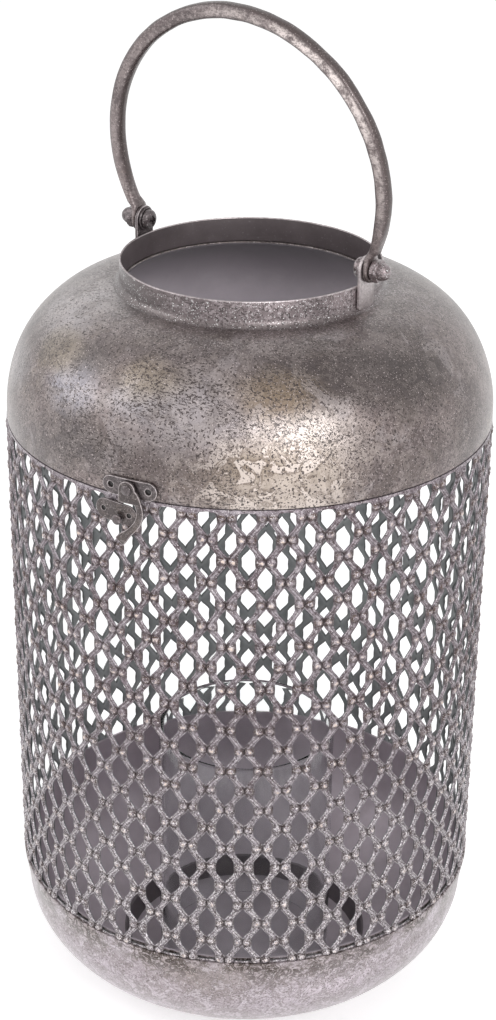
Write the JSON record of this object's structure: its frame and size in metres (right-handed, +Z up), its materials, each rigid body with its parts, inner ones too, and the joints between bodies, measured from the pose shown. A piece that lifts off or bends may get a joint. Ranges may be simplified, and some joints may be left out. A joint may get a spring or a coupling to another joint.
{
  "type": "candle lantern",
  "caption": "Round openwork metal candle lantern with a hinged domed lid, swing latch, bail handle and glass chimney.",
  "frame": {"origin": "centre of the underside, on the surface that the lantern stands on", "axes": "+Z up along the body's axis, -Y towards the latch, +Y towards the lid hinge"},
  "size_m": [0.25, 0.2599, 0.5476],
  "materials": {
    "pewter": "antique pewter, rubbed and speckled",
    "pale_pewter": "pale antique pewter, crackled",
    "dark_pewter": "dark antique pewter",
    "clear_glass": "clear, polished"
  },
  "bodies": {
    "base": {"base_bowl": "pale_pewter", "openwork_body": "pewter", "catch_plate": "dark_pewter", "catch_pin": "dark_pewter", "hinge_leaf_body": "dark_pewter", "hinge_pin": "dark_pewter"},
    "lid": {"lid_dome": "pewter", "collar": "dark_pewter", "hinge_leaf_lid": "dark_pewter", "latch_plate": "dark_pewter", "latch_rivet": "dark_pewter", "ear_right": "dark_pewter", "ear_left": "dark_pewter", "bolt_right": "dark_pewter", "bolt_left": "dark_pewter", "washer_right": "dark_pewter", "washer_left": "dark_pewter", "acorn_nut_right": "dark_pewter", "acorn_nut_left": "dark_pewter"},
    "handle": {"handle": "pewter"},
    "latch": {"latch_hook": "dark_pewter"},
    "glass": {"glass_chimney": "clear_glass"}
  },
  "joints": [
    {"name": "lid_hinge", "type": "hinge", "parent": "base", "child": "lid", "pos_m": [0, 0.128, 0.33925], "axis": [-1, 0, 0], "range_deg": [0, 105]},
    {"name": "handle_swing", "type": "hinge", "parent": "lid", "child": "handle", "pos_m": [0, 0, 0.427], "axis": [0.9903, -0.1392, 0], "range_deg": [-115, 99]},
    {"name": "latch_swing", "type": "hinge", "parent": "lid", "child": "latch", "pos_m": [0, -0.1273, 0.34435], "axis": [0, -1, 0], "range_deg": [-20, 110]},
    {"name": "glass_lift", "type": "slide", "parent": "base", "child": "glass", "axis": [0, 0, 1], "range_m": [0, 0.345]}
  ]
}
